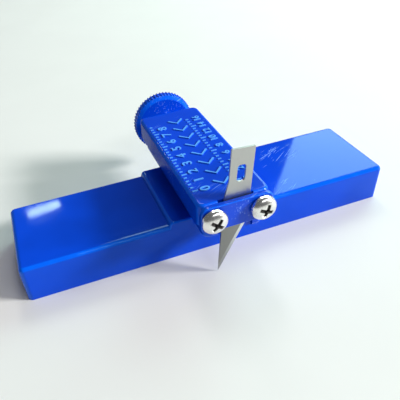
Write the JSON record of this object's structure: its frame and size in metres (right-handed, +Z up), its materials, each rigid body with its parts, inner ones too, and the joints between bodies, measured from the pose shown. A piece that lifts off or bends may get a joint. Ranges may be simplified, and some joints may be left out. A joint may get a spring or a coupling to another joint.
{
  "type": "strip cutter",
  "caption": "Hand strip cutter: long fence bar, blade carriage that a rear knob winds across it, and a craft blade clamped on the front by a plate and cross-head screws.",
  "frame": {"origin": "middle of the guide bar's underside, on the surface it stands on", "axes": "+X along the bar, +Y from the blade towards the knob, +Z up"},
  "size_m": [0.1142, 0.064, 0.0398],
  "materials": {
    "blue_plastic": "glossy moulded plastic with soft edges and light scuffs",
    "grey_plastic": "matt moulded plastic",
    "zinc": "bright zinc or nickel plate",
    "brass": "turned brass",
    "blade_steel": "ground steel with a brighter bevel",
    "spring_steel": "drawn spring steel"
  },
  "bodies": {
    "fence": {"guide_bar": "blue_plastic", "slide_rail": "grey_plastic", "rail_screw_front": "zinc", "rail_screw_rear": "zinc", "feed_nut": "brass", "backlash_spring": "spring_steel"},
    "carriage": {"blade_carriage": "blue_plastic", "clamp_insert_left": "brass", "clamp_insert_right": "brass", "outer_washer": "zinc", "inner_washer": "zinc"},
    "adjuster": {"adjusting_knob": "blue_plastic", "lead_screw": "zinc", "knob_nut": "zinc", "retaining_clip": "spring_steel", "spring_seat": "zinc"},
    "clamp": {"clamp_plate": "blue_plastic"},
    "left_screw": {"clamp_screw_left": "zinc"},
    "right_screw": {"clamp_screw_right": "zinc"},
    "knife": {"blade": "blade_steel"}
  },
  "joints": [
    {"name": "carriage_slide", "type": "slide", "parent": "fence", "child": "carriage", "axis": [0, 1, 0], "range_m": [-0.0025, 0.0086], "deforming": ["backlash_spring"]},
    {"name": "knob_spin", "type": "hinge", "parent": "carriage", "child": "adjuster", "pos_m": [0, 0.0331, 0.0187], "axis": [0, 1, 0], "range_deg": [-1140, 3906]},
    {"name": "clamp_slide", "type": "slide", "parent": "carriage", "child": "clamp", "axis": [0, -1, 0], "range_m": [0, 0.00158]},
    {"name": "left_screw_turn", "type": "hinge", "parent": "clamp", "child": "left_screw", "pos_m": [-0.00685, -0.0266, 0.02165], "axis": [0, -1, 0], "range_deg": [0, 720]},
    {"name": "right_screw_turn", "type": "hinge", "parent": "clamp", "child": "right_screw", "pos_m": [0.00685, -0.0266, 0.02165], "axis": [0, -1, 0], "range_deg": [0, 720]},
    {"name": "blade_height", "type": "slide", "parent": "carriage", "child": "knife", "axis": [0.0628, 0, 0.998], "range_m": [-0.001, 0.01]}
  ],
  "couplings": [
    {"joint": "knob_spin", "follows": "carriage_slide", "rad_per_m": 7915.8},
    {"joint": "left_screw_turn", "follows": "clamp_slide", "rad_per_m": 7915.8},
    {"joint": "right_screw_turn", "follows": "clamp_slide", "rad_per_m": 7915.8}
  ]
}
